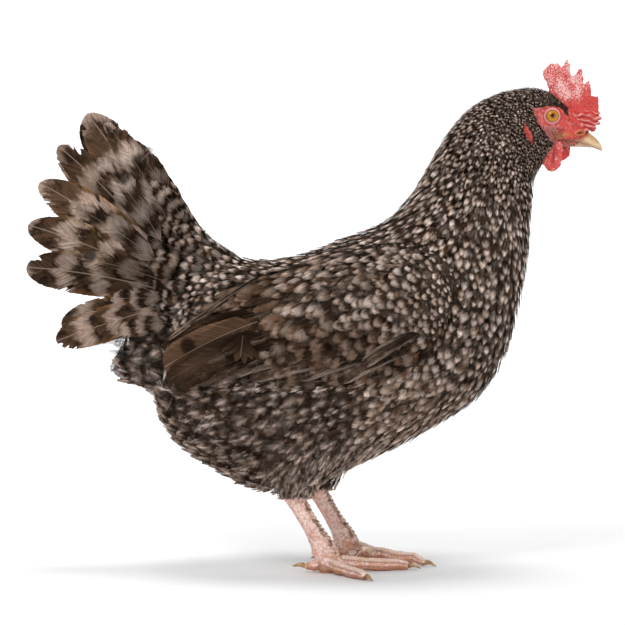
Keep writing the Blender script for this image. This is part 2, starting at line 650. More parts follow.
def on_wing(points, margin=0.0):
    x, low, high = WING_OUTLINE.T
    low = np.interp(points[:, 0], x, low, 999, 999) - margin
    high = np.interp(points[:, 0], x, high, -999, -999) + margin
    return (points[:, 2] > low) & (points[:, 2] < high) & (np.abs(points[:, 1]) > WING_INNER)


# Skin

FLESH = ["trunk", "neck", "head", "tail_coverts", "comb"]
FLESH += [f"{part}_{side}" for part in ("thigh", "wing", "earlobe", "wattle", "shank") for side, _ in SIDES]
FLESH += [f"toe_{side}_{number}" for side, _ in SIDES for number in (1, 2, 3, 4)]
# Outline of the bare face: x, z.
FACE = np.array(((176, 377), (187.8, 379.2), (199.3, 378.6), (204.2, 372.6), (209.9, 368.2), (214.8, 366.5),
                 (232, 368), (232, 345), (200, 345), (191.9, 350.5), (189, 354.0), (184.0, 361.5), (180.0, 368.5)))
# The skin is bare below this height and stands out from the solids by this much.
LEG_TOP, SWELL = 60.0, 0.35
SKIN_VOXEL, CARRIER_VOXEL = 0.6, 2.2
BODY_VERTICES, LEG_VERTICES = 18000, 24000
# How far each round of smoothing moves a point, in and then out.
MOVE_IN, MOVE_OUT = 0.6, -0.61
# The bare parts of the head lie above and in front of this: z, x.
HEAD_LOW, HEAD_REAR = 320, 165


def remeshed(nodes, voxel, swell):
    """One closed mesh round these nodes."""
    both = bmesh.new()
    for name in nodes:
        one = bmesh.new()
        one.from_mesh(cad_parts[name].data)
        bmesh.ops.remove_doubles(one, verts=one.verts, dist=1e-6)
        one.normal_update()
        for vertex in one.verts:
            vertex.co += vertex.normal * swell * MM
        part = bpy.data.meshes.new("part")
        one.to_mesh(part)
        one.free()
        both.from_mesh(part)
        bpy.data.meshes.remove(part)
    mesh = bpy.data.meshes.new("both")
    both.to_mesh(mesh)
    both.free()
    return evaluated(mesh, "REMESH", mode="VOXEL", voxel_size=voxel * MM)


def evaluated(mesh, kind, group=None, **settings):
    """The mesh after one modifier. group is the share of each vertex in its vertex group."""
    holder = in_scene("holder", mesh)
    if group is not None:
        holder.vertex_groups.clear()
        members = holder.vertex_groups.new(name="share")
        for level in np.unique(group):
            members.add(np.nonzero(group == level)[0].tolist(), float(level), "REPLACE")
        settings["vertex_group"] = "share"
    modifier = holder.modifiers.new("change", kind)
    for key, value in settings.items():
        setattr(modifier, key, value)
    graph = bpy.context.evaluated_depsgraph_get()
    made = bpy.data.meshes.new_from_object(holder.evaluated_get(graph))
    bpy.data.objects.remove(holder)
    bpy.data.meshes.remove(mesh)
    return made


def relaxed(points, edges, rounds, share=1.0):
    """Rounds off the facets, moving in and out by turns so that the volume stays."""
    count = np.bincount(edges.ravel(), minlength=len(points))[:, None]
    share = np.broadcast_to(np.asarray(share, float).reshape(-1, 1), (len(points), 1))
    for step in range(2 * rounds):
        total = np.stack([np.bincount(edges[:, 0], points[edges[:, 1], k], len(points))
                          + np.bincount(edges[:, 1], points[edges[:, 0], k], len(points)) for k in range(3)], -1)
        points = points + (MOVE_OUT if step % 2 else MOVE_IN) * share * (total / count - points)
    return points


def normals_of(points, triangles):
    a, b, c = (points[triangles[:, k]] for k in range(3))
    face = np.cross(b - a, c - a)
    total = np.stack([sum(np.bincount(triangles[:, k], face[:, axis], len(points)) for k in range(3))
                      for axis in range(3)], -1)
    return total / np.maximum(np.linalg.norm(total, axis=1, keepdims=True), 1e-12)


def tree_of(points, triangles):
    return BVHTree.FromPolygons(points.tolist(), triangles.tolist())


def node_tree(*names):
    points, faces, count = [], [], 0
    for name in names:
        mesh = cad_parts[name].data
        points.append(points_of(mesh))
        faces.append(triangles_of(mesh) + count)
        count += len(mesh.vertices)
    return tree_of(np.concatenate(points), np.concatenate(faces))


TREES = {
    "red": node_tree("comb", "wattle_right", "wattle_left"),
    "plumed": node_tree("head", "neck"),
    "comb": node_tree("comb"),
    "wattle": node_tree("wattle_right", "wattle_left"),
}


def distances(key, points):
    return np.array([TREES[key].find_nearest(Vector(p))[3] for p in points])


def near(key, points, far, close):
    """1 as close to these solids as this, and 0 farther off than that."""
    return smooth(far, close, distances(key, points))


def head_of(points, rear=HEAD_REAR):
    return np.nonzero((points[:, 2] > HEAD_LOW) & (points[:, 0] > rear))[0]


def inside(polygon, x, z):
    """Signed distance to the polygon's edge, positive inside."""
    nearest = np.full(len(x), 1e9)
    odd = np.zeros(len(x), bool)
    for (ax, az), (bx, bz) in zip(polygon, np.roll(polygon, -1, 0)):
        length = (bx - ax) ** 2 + (bz - az) ** 2
        t = np.clip(((x - ax) * (bx - ax) + (z - az) * (bz - az)) / length, 0, 1)
        nearest = np.minimum(nearest, np.hypot(x - ax - t * (bx - ax), z - az - t * (bz - az)))
        crosses = (az > z) != (bz > z)
        odd ^= crosses & (x < (bx - ax) * (z - az) / np.where(bz == az, 1e-9, bz - az) + ax)
    return np.where(odd, nearest, -nearest)


def wobble(points, pitch, seed):
    """Smooth seeded noise, about -1 to 1: seven waves of about this length."""
    draw = np.random.default_rng(seed)
    total = np.zeros(len(points))
    for _ in range(7):
        wave = draw.normal(size=3)
        wave *= 2 * math.pi / pitch / np.linalg.norm(wave) * draw.uniform(0.6, 1.5)
        total += np.sin(points @ wave + draw.uniform(0, 6.28))
    return total / 3.2


# The bare sliver of the earlobe: x, z, half length, half width, lean in degrees.
EAR = (173.0, 356.6, 8.2, 2.4, -67.0)


def ear_ring(at):
    """Distance from the middle of the bare sliver of the earlobe, 1 at its edge."""
    x, z, long, narrow, lean = EAR
    ray = way(lean)
    dx, dz = at[:, 0] - x, at[:, 2] - z
    ring = np.hypot((dx * ray[0] + dz * ray[1]) / long, (dz * ray[0] - dx * ray[1]) / narrow)
    return np.where(np.abs(at[:, 1]) > 12, ring + 0.22 * wobble(at, 4.0, 41), 9.0)


def bare_share(points):
    """1 on the face, comb, wattles, earlobes and legs, 0 under the plumage."""
    share = (points[:, 2] < LEG_TOP).astype(float)
    head = head_of(points, HEAD_REAR - 5)
    at = points[head]
    face = smooth(-0.3, 0.3, inside(FACE, at[:, 0] + 0.6 * wobble(at, 5, 3), at[:, 2] + 0.6 * wobble(at, 5, 4)))
    red = smooth(-0.5, 0.5, distances("plumed", at) - distances("red", at))
    front = smooth(206.5, 208.5, at[:, 0])
    share[head] = np.maximum.reduce((face, red, smooth(1.15, 0.9, ear_ring(at)), front))
    return share


def eye_place(side):
    """Centre of the eyeball."""
    low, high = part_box(f"eye_{side}")
    return (np.array(low) + np.array(high)) / 2 / MM - SHIFT


EYES = {side: eye_place(side) for side, _ in SIDES}


def from_eye(points, axes=(0, 1, 2)):
    """Distance from the nearer eye's centre along these axes."""
    return np.minimum(*(np.linalg.norm(points[:, axes] - EYES[side][list(axes)], axis=1) for side, _ in SIDES))


# The lids' opening behind, in front of and above the eye's centre, and the eyeball's radius where they meet it.
LID_REAR, LID_FRONT, LID_HALF_HEIGHT, LID_RADIUS = 5.3, 5.8, 5.0, 5.6


def with_lids(points):
    """Sinks the face round each eye and raises a fleshy ring that lies on the eyeball."""
    for side, sign in SIDES:
        centre = EYES[side]
        mine = (points[:, 1] * sign > 4) & (np.linalg.norm(points - centre, axis=1) < 22)
        at = points[mine]
        dx, dz = at[:, 0] - centre[0], at[:, 2] - centre[2]
        away = np.hypot(dx, dz)
        face = sign * at[:, 1]
        ball = sign * centre[1] + np.sqrt(np.maximum(EYE_RADIUS**2 - away**2, 0))
        rim = sign * centre[1] + math.sqrt(EYE_RADIUS**2 - LID_RADIUS**2)
        face = face - np.maximum(face - rim - 0.2, 0) * (1 - smooth(8.0, 17.0, away))
        ring = np.hypot(dx / np.where(dx < 0, LID_REAR, LID_FRONT), dz / LID_HALF_HEIGHT)
        crest = np.maximum(ball, rim) + 0.95
        inner = crest - 2.6 * (1 - smooth(0.80, 0.95, ring))
        outer = crest + (face - crest) * smooth(1.02, 1.32, ring) - 0.45 * bell(ring - 1.27, 0.06)
        outer -= 0.16 * bell(ring - 1.12, 0.03)
        at[:, 1] = sign * np.where(ring < 1.0, inner, outer)
        points[mine] = at
    return points


def face_side(points):
    """Where the skin keeps all its vertices."""
    return (points[:, 0] > 166) & (points[:, 2] > 322)


def make_skin():
    mesh = remeshed(FLESH + ["eye_right", "eye_left"], SKIN_VOXEL, SWELL)
    for wanted, upper in ((BODY_VERTICES, True), (LEG_VERTICES, False)):
        points = points_of(mesh)
        above = points[:, 2] > LEG_TOP + 3
        thin = above & ~face_side(points) if upper else ~above
        ratio = (wanted + np.count_nonzero(~thin)) / len(thin)
        # The modifier's tolerances suit a mesh that is large in its units.
        mesh.transform(Matrix.Scale(1 / MM, 4))
        mesh = evaluated(mesh, "DECIMATE", np.where(thin, 1.0, 0.0), ratio=ratio, use_collapse_triangulate=True)
        mesh.transform(Matrix.Scale(MM, 4))
    points, edges, triangles = points_of(mesh), read(mesh.edges, "vertices", 2), triangles_of(mesh)
    bare = bare_share(points)
    points = relaxed(points, edges, 4, 0.35 + 0.65 * (1 - bare))
    points = relaxed(points, edges, 8, 1 - bare)
    _, values, _ = BODY_LIE.read(points)
    depth = SWELL + (1 - bare) * (values[:, LIFT] + 1.0)
    points = points - normals_of(points, triangles) * depth[:, None]
    points = relaxed(points, edges, 3, 1 - bare)
    points = with_lids(points)
    points = worked(points, normals_of(points, triangles))
    faces = [np.array([p.vertices for p in mesh.polygons if len(p.vertices) == size], np.int32) for size in (3, 4)]
    faces = [rows for rows in faces if len(rows)]
    skin = new_mesh("skin", points, faces)
    legs = points[:, 2] < LEG_TOP + 2
    kind = np.where(bare > 0.5, np.where(legs, 2, 1), 0)
    chosen = np.concatenate([np.median(kind[rows], axis=1) for rows in faces]).astype(np.int32)
    skin.polygons.foreach_set("material_index", chosen)
    add_values(skin, "flush", flush_of(points, normals_of(points, triangles), legs))
    add_values(skin, "grain", smooth(3.0, 10.0, values[:, SPACING]))
    add_values(skin, "stain", stain_of(points))
    piece = new_object("skin", skin, "plumage", skin_material(), red_material(), leg_material())
    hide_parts(*FLESH)
    return piece


def folds(at):
    """Fleshy folds of the comb's front, over the nostril: 1 on a ridge, -1 in a groove."""
    x, _, z = at.T
    return np.sin((z + 0.16 * x + 1.2 * wobble(at, 9, 23)) * 2 * math.pi / 3.9)


def nostril(at):
    """Distance from the nostril, 1 on the rim of its flap."""
    x, _, z = at.T
    return np.hypot((x - 216.3) / 3.9, (z - 357.4 - 0.15 * (x - 216.3)) / 1.9)


def mouth_line(at):
    """Distance below or above the line of the closed mouth."""
    x, _, z = at.T
    return np.abs(z - 351.3 - 0.02 * (x - 205)) + np.maximum(0, 197.5 - x) + np.maximum(0, x - 214)


def wattle_fold(at):
    """1 along the hollow between the wattle's two lobes."""
    x, _, z = at.T
    return bell(x - 194.5 + 0.10 * (340 - z), 1.3) * smooth(350, 344, z) * smooth(328, 333, z)


def worked(points, normals):
    """Folds and beads of the bare parts."""
    head = head_of(points)
    at = points[head]
    x, y, z = at.T
    comb, wattle = near("comb", at, 1.2, 0.2), near("wattle", at, 1.0, 0.2)
    push = comb * 0.25 * wobble(at, 3.2, 21) + wattle * (0.35 * wobble(at, 6.0, 22) + 0.22 * wobble(at, 2.6, 25))
    push += comb * smooth(205, 213, x) * smooth(377, 370, z) * (1.5 + 1.3 * folds(at))
    ribs = np.sin((x - 0.45 * (z - 380) + 1.2 * wobble(at, 12, 26)) * 2 * math.pi / 5.2)
    push += comb * 0.28 * ribs * smooth(372, 380, z)
    push -= wattle * 1.5 * wattle_fold(at)
    side = smooth(3, 8, np.abs(y)) * (1 - comb) * (1 - wattle)
    face = smooth(0.0, 2.0, inside(FACE, x, z)) * side
    push += face * (0.16 * wobble(at, 2.4, 24) + 0.25 * wobble(at, 5.5, 27))
    flap, mouth = nostril(at), mouth_line(at)
    push += side * (bell(flap - 1, 0.4) - 0.7 * bell(flap, 0.55))
    push -= side * 0.8 * bell(mouth, 0.6)
    push += side * 0.5 * bell(mouth - 2.0, 1.1) * smooth(196, 199, x)
    for wrinkle in (200, 232, 318):
        ray = way(wrinkle)
        dx, dz = x - EYE_X, z - EYE_Z
        along, off = dx * ray[0] + dz * ray[1], -dx * ray[1] + dz * ray[0]
        push -= face * 0.35 * bell(off, 0.6) * smooth(7, 8.5, along) * smooth(15, 11, along)
    push *= smooth(7.5, 9.0, from_eye(at))
    points = points.copy()
    points[head] += normals[head] * push[:, None]
    return points


def flush_of(points, normals, legs):
    """Red parts: pale scurf, pink and the yellow corner of the mouth. Legs: grey front and ochre pads."""
    flush = np.zeros((len(points), 3))
    head = head_of(points)
    at = points[head]
    x, _, z = at.T
    comb = near("comb", at, 1.6, 0.5)
    middle = smooth(20, 4, np.hypot((x - 206) / 1.25, z - 395))
    tips = 0.7 * smooth(392, 404, z) * smooth(178, 186, x)
    blade = comb * np.maximum(middle, tips) * (0.85 + 0.35 * wobble(at, 9, 31))
    ridges = near("comb", at, 4.4, 3.4) * smooth(206, 211, x) * smooth(377, 371, z) * smooth(0.0, 0.8, folds(at))
    hanging = 0.30 * near("wattle", at, 1.6, 0.5) * (0.8 + 0.6 * wobble(at, 5, 35))
    flush[head, 0] = np.maximum.reduce((blade, 0.8 * ridges, hanging)).clip(0, 1)
    lid = 0.85 * smooth(7.1, 6.5, from_eye(at, (0, 2)))
    cheek = smooth(366, 360, z) * smooth(202, 190, x) * smooth(345, 350, z) * smooth(175, 178, x)
    behind = 0.35 * smooth(190, 180, x) * smooth(176, 179, x)
    cheek = np.maximum(0.6 * cheek, behind) + 0.25 * wobble(at, 3.0, 33)
    flush[head, 1] = np.maximum(np.maximum(lid, cheek) * (1 - comb), 0.8 * ridges).clip(0, 1)
    corner = np.hypot((x - 199.5) / 1.5, (z - 354.8 - 0.22 * (x - 199)) / 0.55)
    corner = smooth(7.0, 3.0, corner + 1.2 * wobble(at, 3.0, 32)) * 0.8
    flush[head, 2] = np.maximum(corner, 0.9 * bell(nostril(at) - 1, 0.35)) * (1 - comb)
    z, below = points[legs, 2], smooth(0.1, -0.6, normals[legs, 2])
    flush[legs, 0] = smooth(-0.1, 0.6, normals[legs, 0]) * smooth(10, 22, z)
    flush[legs, 1] = np.maximum(below, smooth(4.5, 2.0, z)) * smooth(16, 10, z)
    return flush


def stain_of(points):
    """Dark creases of the bare head: lid margins, mouth, nostril and the grooves between folds."""
    stain = np.zeros(len(points))
    head = head_of(points)
    at = points[head]
    x, y, z = at.T
    comb, wattle = near("comb", at, 1.6, 0.5), near("wattle", at, 1.6, 0.5)
    plain = (1 - comb) * (1 - wattle)
    side = 0.9 * (np.abs(y) > 3) * plain
    eye = from_eye(at, (0, 2))
    lids = np.maximum(0.8 * bell(eye - 4.9, 0.35), 0.55 * bell(eye - 7.3, 0.4))
    openings = side * np.maximum(bell(nostril(at), 0.6), bell(mouth_line(at), 0.7))
    grooves = comb * smooth(205, 211, x) * smooth(377, 371, z) * smooth(-0.4, -0.95, folds(at)) * 0.35
    low_face = smooth(367, 358, z) * smooth(206, 192, x) * smooth(178, 181, x)
    speckle = (0.35 + 0.5 * smooth(0.0, 0.9, wobble(at, 1.7, 34))) * low_face * plain
    ear = 0.22 * (ear_ring(at) < 1.3)
    stain[head] = np.maximum.reduce((lids, openings, grooves, 0.55 * wattle * wattle_fold(at), speckle, ear))
    return stain


def make_carrier():
    """What the feathers lie on: the skin's own shape with the folded flight feathers as part of it."""
    nodes = ["trunk", "neck", "head", "tail_coverts"]
    nodes += [f"{part}_{side}" for part in ("thigh", "wing", "flight_feathers") for side, _ in SIDES]
    mesh = remeshed(nodes, CARRIER_VOXEL, SWELL)
    points, edges, triangles = points_of(mesh), read(mesh.edges, "vertices", 2), triangles_of(mesh)
    points = relaxed(points, edges, 3)
    _, values, _ = BODY_LIE.read(points)
    lift = values[:, LIFT]
    wing = on_wing(points, 4)
    lift[wing] = WING_LIE.read(points[wing])[1][:, LIFT]
    points = points - normals_of(points, triangles) * (SWELL + lift)[:, None]
    bpy.data.meshes.remove(mesh)
    return points, triangles, normals_of(points, triangles)


# Coat

# The body's bent axis: x, z.
SPINE = np.array(((-160, 345), (-120, 270), (-75, 175), (0, 160), (60, 175), (105, 215), (125, 270), (140, 325),
                  (165, 358), (205, 360)), float)


def unwrapped(points):
    """Length along the body's bent axis, and the angle round it."""
    best = np.full(len(points), 1e9)
    along = np.zeros(len(points))
    round_it = np.zeros(len(points))
    start = 0.0
    for a, b in zip(SPINE[:-1], SPINE[1:]):
        length = np.linalg.norm(b - a)
        ray = (b - a) / length
        flat = points[:, (0, 2)] - a
        t = np.clip(flat @ ray, 0, length)
        off = np.linalg.norm(flat - t[:, None] * ray, axis=1)
        up = flat @ np.array((-ray[1], ray[0]))
        closer = off < best
        best[closer] = off[closer]
        along[closer] = start + t[closer]
        round_it[closer] = np.arctan2(points[:, 1], up)[closer]
        start += length
    return np.stack((along, round_it), -1)


def squared(flat):
    """Fitted to the unit square with a small border."""
    low, high = flat.min(0), flat.max(0)
    return 0.01 + 0.98 * (flat - low) / (high - low)


# Trial roots for each one that fits, and the least distance apart as a share of the spacing.
CROWD, APART = 5.0, 0.74


def scattered(points, triangles, lie, seed):
    """Roots on these triangles, none nearer to another than the coat's own spacing there."""
    draw = np.random.default_rng(seed)
    a, b, c = (points[triangles[:, k]] for k in range(3))
    area = np.linalg.norm(np.cross(b - a, c - a), axis=1) / 2
    spacing = lie.read((a + b + c) / 3)[1][:, SPACING]
    wanted = CROWD * area / spacing**2
    chosen = draw.choice(len(triangles), int(wanted.sum()), p=wanted / wanted.sum())
    r, s = draw.random((2, len(chosen), 1))
    fold = r + s > 1
    r, s = np.where(fold, 1 - r, r), np.where(fold, 1 - s, s)
    roots = a[chosen] + r * (b - a)[chosen] + s * (c - a)[chosen]
    gap = spacing[chosen]
    tree = KDTree(len(roots))
    for number, place in enumerate(roots):
        tree.insert(place, number)
    tree.balance()
    free = np.ones(len(roots), bool)
    kept = []
    for number in range(len(roots)):
        if free[number]:
            kept.append(number)
            for _, other, _ in tree.find_range(roots[number], APART * gap[number]):
                free[other] = False
    return roots[kept]


class Ground:
    """The surface that feathers are laid on, with smooth normals."""

    def __init__(self, points, triangles, normals):
        self.tree = tree_of(points, triangles)
        mean = normals[triangles].sum(1)
        self.normals = mean / np.linalg.norm(mean, axis=1, keepdims=True)

    def at(self, place):
        where, _, index, _ = self.tree.find_nearest(Vector(place))
        return np.array(where), self.normals[index]


# How deep a root sits under the surface.
ROOT_SINK = 0.35


def laid(ground, root, heading, length, width, lift, sag, stiff, roll):
    """A 3 by 5 lattice of points and normals that follows the ground from the root towards the tip."""
    here, up = ground.at(root)
    ahead = unit(heading - up * (heading @ up))
    first_here, first_ahead, first_up = here, ahead, up
    step = length / 4
    places = np.empty((3, 5, 3))
    ups = np.empty((3, 5, 3))
    for k in range(5):
        if k:
            guess = here + ahead * step
            there, new_up = ground.at(guess)
            drop = (there - guess) @ up
            if drop < -0.3 * step or np.linalg.norm(there - guess) > 0.6 * step:
                here = guess - up * min(0.3 * step, max(0.0, -drop)) * 0.4
            else:
                here = there
                up = unit(up + new_up)
            ahead = unit(ahead - up * (ahead @ up))
        share = k / 4
        middle = here + (first_here + first_ahead * step * k - here) * stiff * share
        normal = unit(up + (first_up - up) * stiff * share)
        side = np.cross(normal, ahead)
        height = -ROOT_SINK + (lift + ROOT_SINK) * share**1.15 - 0.6 * sag * share**4
        for j, u in enumerate((-1.0, 0.0, 1.0)):
            place = middle + side * (u * width / 2)
            if u:
                there, _ = ground.at(place)
                drop = (there - place) @ normal
                if abs(drop) < 0.35 * width:
                    place = place + (there - place) @ normal * normal * (1 - stiff)
            places[j, k] = place + normal * (height - sag * u * u * share + roll * u * share)
            ups[j, k] = normal
    return places, ups


def clear_share(roots, heading, length, on_the_wing):
    """How much of each feather's length fits before the bare face, the wing's edge or the flight feathers."""
    ahead = heading / np.linalg.norm(heading, axis=1, keepdims=True)
    fits = np.ones(len(roots))
    for share in (1.0, 0.8, 0.6, 0.4):
        tips = roots + ahead * (length * share)[:, None]
        if on_the_wing:
            blocked = inside(BARE_VANES, tips[:, 0], tips[:, 2]) > 3
        else:
            blocked = (bare_share(tips) > 0.5) | (on_wing(tips, -1.5) & (roots[:, 0] > -40))
        fits = np.where(blocked, max(0.45, share - 0.15), fits)
    return fits


# How unevenly feathers grow: share of their size, degrees of heading, and tilt.
SIZE_SPREAD, TURN_SPREAD, ROLL_SPREAD = 0.13, 9, 0.35


def coat(name, roots, lie, ground, seed, material):
    """A joined mesh of feathers, one at each root."""
    draw = np.random.default_rng(seed)
    heading, values, nearest = lie.read(roots)
    number = len(roots)
    size = 1 + SIZE_SPREAD * draw.standard_normal(number).clip(-2, 2)
    turn = np.radians(TURN_SPREAD) * draw.standard_normal(number).clip(-2, 2)
    roll = ROLL_SPREAD * draw.standard_normal(number)
    if "bristles" not in name:
        size = size * clear_share(roots, heading, values[:, LENGTH] * size, "wing" in name)
    lattices, ups = np.empty((2, number, 3, 5, 3))
    for k in range(number):
        v, (x, y, z) = values[k], heading[k]
        c, s = math.cos(turn[k]), math.sin(turn[k])
        lattices[k], ups[k] = laid(ground, roots[k], np.array((c * x - s * z, y, s * x + c * z)), v[LENGTH] * size[k],
                                   v[WIDTH] * size[k], v[LIFT] * (1 + 0.2 * roll[k]), v[SAG], v[STIFF],
                                   roll[k] * v[LIFT] * 0.35)
    tips = roots + heading * values[:, LENGTH:LENGTH + 1] * 0.7
    crease = 1 - smooth(3.4, 1.6, np.abs(inside(CREASE, tips[:, 0], tips[:, 2]))) * (np.abs(roots[:, 1]) > 30)
    marks = np.stack((values[:, BARS] * (1 + 0.08 * draw.standard_normal(number)),
                      draw.normal(0.0, 0.14, number) - 0.86 * values[:, BARS],
                      values[:, CONTRAST] * draw.uniform(0.55, 1.1, number)), -1)
    tint = np.stack((values[:, PALENESS] * crease * draw.uniform(0.7, 1.15, number), draw.uniform(0, 0.8, number),
                     draw.random(number)), -1)
    form = np.stack((values[:, CURVE] + draw.normal(0, 0.22, number),
                     (values[:, PLAIN] + draw.normal(0, 0.12, number)).clip(0, 1) * crease, values[:, SHAFT]), -1)
    duty = (values[:, DUTY] + draw.normal(0, 0.07, number)).clip(0.1, 0.9)
    spots = np.stack((0.5 + 0.5 * np.cos(math.pi * duty), np.zeros(number), np.zeros(number)), -1)
    kinds = np.array([lie.kind[n] for n in nearest])
    places = squared(unwrapped(roots))
    variant = draw.integers(0, 60, number)
    build = Build()
    for kind in sorted(set(kinds)):
        options = PLANS[PLAN_OF.get(kind, kind)]
        for index, plan in enumerate(options):
            mine = np.nonzero((kinds == kind) & (variant % len(options) == index))[0]
            if len(mine):
                at = plan.on(lattices[mine], ups[mine], values[mine, WIDTH] * 0.5)
                build.add(plan, at, places[mine], marks[mine], tint[mine], form[mine], spots[mine])
    build.piece(name, "plumage", material)


class Build:
    """Gathers feathers into one mesh with their marking attributes and the OFBake map."""

    def __init__(self):
        self.points, self.faces, self.uv, self.bake = [], [], [], []
        self.looks = {"marks": [], "tint": [], "form": [], "spots": []}
        self.count = 0

    def add(self, plan, at, places, *looks):
        feathers, size = at.shape[:2]
        self.points.append(at.reshape(-1, 3))
        self.faces.append((plan.faces[None] + (self.count + size * np.arange(feathers))[:, None, None]).reshape(-1, 4))
        self.uv.append(np.tile(plan.flat, (feathers, 1)))
        self.bake.append((places[:, None, :] + (plan.flat - 0.5)[None] * PATCH).reshape(-1, 2))
        for store, rows in zip(self.looks.values(), looks):
            store.append(np.repeat(rows, size, axis=0))
        self.count += feathers * size

    def piece(self, name, slot, material):
        mesh = new_mesh(name, np.concatenate(self.points), [np.concatenate(self.faces)])
        add_uv(mesh, "OFBake", np.clip(np.concatenate(self.bake), 0, 1))
        add_uv(mesh, "feather", np.concatenate(self.uv))
        for key, store in self.looks.items():
            if store:
                add_values(mesh, key, np.concatenate(store))
        return new_object(name, mesh, slot, material)


def region_of(at):
    """Which piece of plumage a root on the body belongs to."""
    x, y, z = at
    if x > 158 and z > 322:
        return "head"
    if z > 240 + 0.55 * (165 - x) and x > 75:
        return "neck"
    if x < -84 and z > 160:
        return "tail"
    if x > 78:
        return "breast"
    return "back" if z > 200 else "belly"


FACE_LIE = Lie(((190, 14, 356, 240, 1.8, 0.6, 1.6, "tiny"), (178, 20, 368, 225, 2.2, 0.8, 1.4, "tiny")))


def make_bristles(points, triangles, normals, material):
    """Short dark bristles on the cheeks and along the edge of the face."""
    centres = points[triangles].mean(1)
    edge = inside(FACE, centres[:, 0], centres[:, 2])
    cheek = (centres[:, 2] < 362) & (centres[:, 0] < 203)
    beside = (np.abs(centres[:, 1]) > 5) & (from_eye(centres) > 9.5) & (distances("red", centres) > 1.0)
    bare = (edge > -0.5) & ((edge < 2.4) | cheek) & beside
    head = (centres[:, 2] > 340) & (centres[:, 0] > 170) & (centres[:, 0] < 214)
    ground = Ground(points, triangles[head], normals)
    roots = scattered(points, triangles[bare & head], FACE_LIE, 9)
    for side, sign in SIDES:
        coat(f"bristles_{side}", roots[roots[:, 1] * sign > 0], FACE_LIE, ground, 190 + sign, material)


# Feathers root where less than this share is bare. Those of the wing root outside this |y|, and this far from the
# flight feathers.
BARE_LIMIT, WING_OUT, OFF_VANES = 0.45, 40, 5


def make_plumage(ground, points, triangles, material):
    centres = points[triangles].mean(1)
    wing = on_wing(centres)
    seed = 100
    roots = scattered(points, triangles[(bare_share(centres) <= BARE_LIMIT) & ~wing], BODY_LIE, 5)
    names = np.array([f"plumage_{region_of(r)}_{'right' if r[1] < 0 else 'left'}" for r in roots])
    for name in sorted(set(names)):
        seed += 1
        coat(name, roots[names == name], BODY_LIE, ground, seed, material)
    roots = scattered(points, triangles[wing & (np.abs(centres[:, 1]) > WING_OUT)], WING_LIE, 6)
    roots = roots[inside(BARE_VANES, roots[:, 0], roots[:, 2]) < -OFF_VANES]
    for side, sign in SIDES:
        seed += 1
        coat(f"plumage_wing_{side}", roots[roots[:, 1] * sign > 0], WING_LIE, ground, seed, material)


# Long feathers

TAIL_ROOT = np.array((-102.0, 222.0))
# Tail feathers 1 to 7: direction in degrees, length, width.
TAIL_FAN = ((119, 172.5, 40), (130.5, 164, 31), (142, 154, 33), (155, 143.5, 33), (168.5, 134, 35), (191, 105, 28),
            (197, 112, 29))
# The tail is a tent: its ridge's direction in degrees and height over the root, its slope, and the step from one
# feather to the next.
TAIL_LEAN, TAIL_RIDGE, TAIL_TENT, TAIL_LAYER = 119, 37.0, 0.20, 1.5
TAIL_DOWN = way(TAIL_LEAN + 90)
# What sets the left side's draws apart.
LEFT_SEED = 50

# Coverts over the roots of the tail: root x, z, tip x, z, width, how far out it lies, bars, paleness, plainness,
# and where along it a dark spot lies.
TAIL_COVERTS = (
    (-112, 292, -152, 352, 19, 1.0, 3.0, 0.50, 0.55, 0.80),
    (-120, 286, -171, 366, 23, 1.6, 2.6, 0.95, 0.45, 0.55),
    (-124, 268, -177, 337, 24, 2.0, 3.4, 0.70, 0.50, 0.72),
    (-128, 252, -194, 297, 25, 2.2, 2.4, 0.60, 0.60, 0.74),
    (-126, 238, -193, 256, 20, 2.4, 2.2, 0.45, 0.40, 0.86),
    (-122, 222, -166, 222, 19, 2.2, 3.0, 0.55, 0.35, 0.70),
    (-118, 204, -160, 196, 17, 1.8, 3.0, 0.50, 0.35, 0.70),
    (-106, 286, -134, 318, 16, 2.4, 3.6, 0.80, 0.20, 0.50),
)

# Folded flight feathers: root x, z, tip x, z, width, how far in it lies, and whether its edges are pale.
FLIGHT = (
    (-44, 214, -121.5, 183, 19, 1.3, 0.0),
    (-46, 207, -121.0, 169, 27, 0.0, 0.0),
    (-36, 198, -117.0, 159, 22, 0.9, 0.0),
    (-26, 190, -109.0, 153, 18, 1.7, 0.3),
    (-10, 184, -88.0, 156, 12, 2.4, 1.0),
    (34, 180, -52.0, 161, 11, 1.6, 1.0),
    (56, 183, -14.0, 162, 11, 0.9, 1.0),
    (79, 188, 18.0, 160, 12, -0.2, 1.0),
    (83, 200, 37.0, 173, 10, -0.6, 1.0),
    (-40, 244, -88, 213, 3, 0.0, 1.0),
    (-64, 226, -118, 191, 3.5, 0.0, 1.0),
)
TORN_APEX = np.array((-57.0, 199.5))
TORN_LENGTH = 28.0


def seeded(first, number, side):
    seed = first + number + LEFT_SEED * (side == "left")
    return seed, np.random.default_rng(seed)


def long_feather(name, plan, points, material, looks, node=None):
    """One feather as a piece of its own, its OFBake map filled by its own flat shape.

    looks is (bars, phase, contrast), (paleness, warmth, number), (curve, brownness, shaft) and (threshold, where its
    dark spot is, how dark).
    """
    build = Build()
    build.add(plan, points[None], np.array(((0.5, 0.5),)), *(np.array((look,)) for look in looks))
    build.bake = [0.02 + 0.96 * plan.flat / (1, FURTHEST)]
    piece = build.piece(name, "flight_feathers", material)
    if node:
        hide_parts(node)


def in_side_view(plan, start, ray, length, width, bow):
    """A plan's points in side view on a feather that bows by so much, and its middle line."""
    across = np.array((-ray[1], ray[0]))
    t = plan.along
    middle = start + ray * (length * t)[:, None] - across * (bow * 4 * t * (1 - t))[:, None]
    return middle + across * (plan.across * width / 2)[:, None], middle


